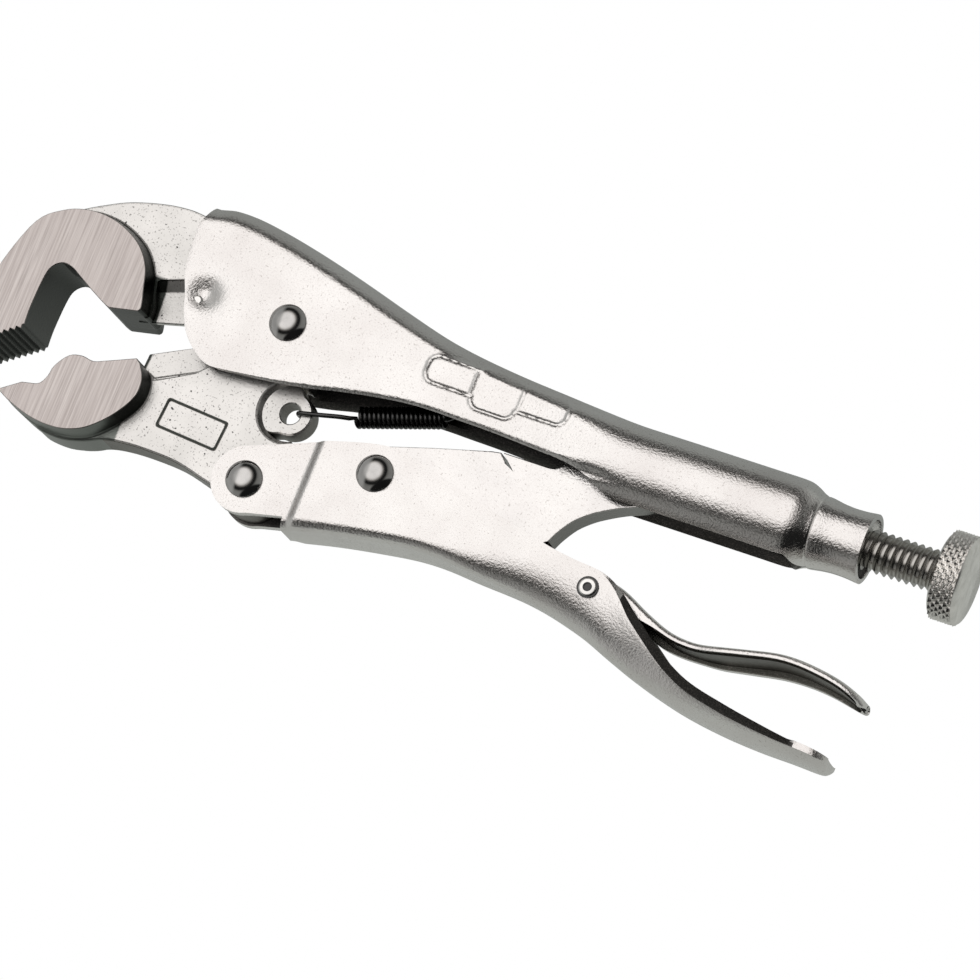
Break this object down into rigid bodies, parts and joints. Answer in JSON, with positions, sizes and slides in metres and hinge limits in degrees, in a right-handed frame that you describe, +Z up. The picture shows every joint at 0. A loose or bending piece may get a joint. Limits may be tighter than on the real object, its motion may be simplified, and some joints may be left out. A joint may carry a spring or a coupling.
{
  "type": "locking pliers",
  "caption": "Locking pliers with shaped jaws for hexagon fasteners, over-centre toggle link, release lever, tension spring and knurled adjusting screw.",
  "frame": {"origin": "middle of the object's box in plan, on the surface that it lies on", "axes": "+X along the adjusting screw towards the knob, +Y across the tool towards the back of the upper handle, +Z up, along every hinge pin"},
  "size_m": [0.1907, 0.0628, 0.0178],
  "materials": {
    "nickel_sheet": "satin nickel plate over pressed steel, fine grain",
    "forged_jaw": "nickel plate over forged steel, flat faces ground bare with brush lines",
    "nickel_link": "satin nickel plate, darker sheared edges",
    "dark_rivet": "polished domed heads, mirror bright",
    "pin_steel": "bright steel",
    "screw_steel": "rolled thread, oiled steel",
    "knob_steel": "nickel plate, diamond knurl on the rim, turned end face",
    "spring_black": "blackened spring wire"
  },
  "bodies": {
    "upper_body": {"upper_handle": "nickel_sheet", "fixed_jaw": "forged_jaw", "fixed_jaw_pin": "pin_steel", "main_rivet": "dark_rivet", "tension_spring": "spring_black"},
    "jaw_body": {"lower_jaw": "forged_jaw"},
    "grip_body": {"lower_handle": "nickel_sheet", "handle_rivet": "dark_rivet", "link_rivet": "dark_rivet", "lever_pin": "pin_steel"},
    "link_body": {"toggle_link": "nickel_link"},
    "lever_body": {"release_lever": "nickel_sheet"},
    "screw_tip_body": {"screw_tip": "screw_steel"},
    "screw_body": {"adjusting_screw": "screw_steel", "knurled_knob": "knob_steel"}
  },
  "joints": [
    {"name": "jaw_pivot", "type": "hinge", "parent": "upper_body", "child": "jaw_body", "pos_m": [-0.0374, 0.01375, 0.0089], "axis": [0, 0, 1], "range_deg": [0, 25], "deforming": ["tension_spring"]},
    {"name": "handle_pivot", "type": "hinge", "parent": "jaw_body", "child": "grip_body", "pos_m": [-0.0344, -0.01555, 0.0089], "axis": [0, 0, 1], "range_deg": [-80, 0]},
    {"name": "link_pivot", "type": "hinge", "parent": "grip_body", "child": "link_body", "pos_m": [-0.0114, -0.00725, 0.0089], "axis": [0, 0, 1], "range_deg": [0, 76.25]},
    {"name": "lever_pivot", "type": "hinge", "parent": "grip_body", "child": "lever_body", "pos_m": [0.0331, -0.01445, 0.0089], "axis": [0, 0, 1], "range_deg": [-10, 0]},
    {"name": "screw_feed", "type": "slide", "parent": "upper_body", "child": "screw_tip_body", "axis": [1, 0, 0], "range_m": [-0.0002, 0.0165]},
    {"name": "screw_turn", "type": "hinge", "parent": "screw_tip_body", "child": "screw_body", "pos_m": [0.0826, 0.009, 0.0089], "axis": [1, 0, 0], "range_deg": [0, 3600]}
  ],
  "couplings": [
    {"joint": "handle_pivot", "follows": "jaw_pivot", "ratio": -3.2},
    {"joint": "link_pivot", "follows": "jaw_pivot", "ratio": 3.05},
    {"joint": "screw_feed", "follows": "screw_turn", "m_per_rad": 0.00022459}
  ]
}
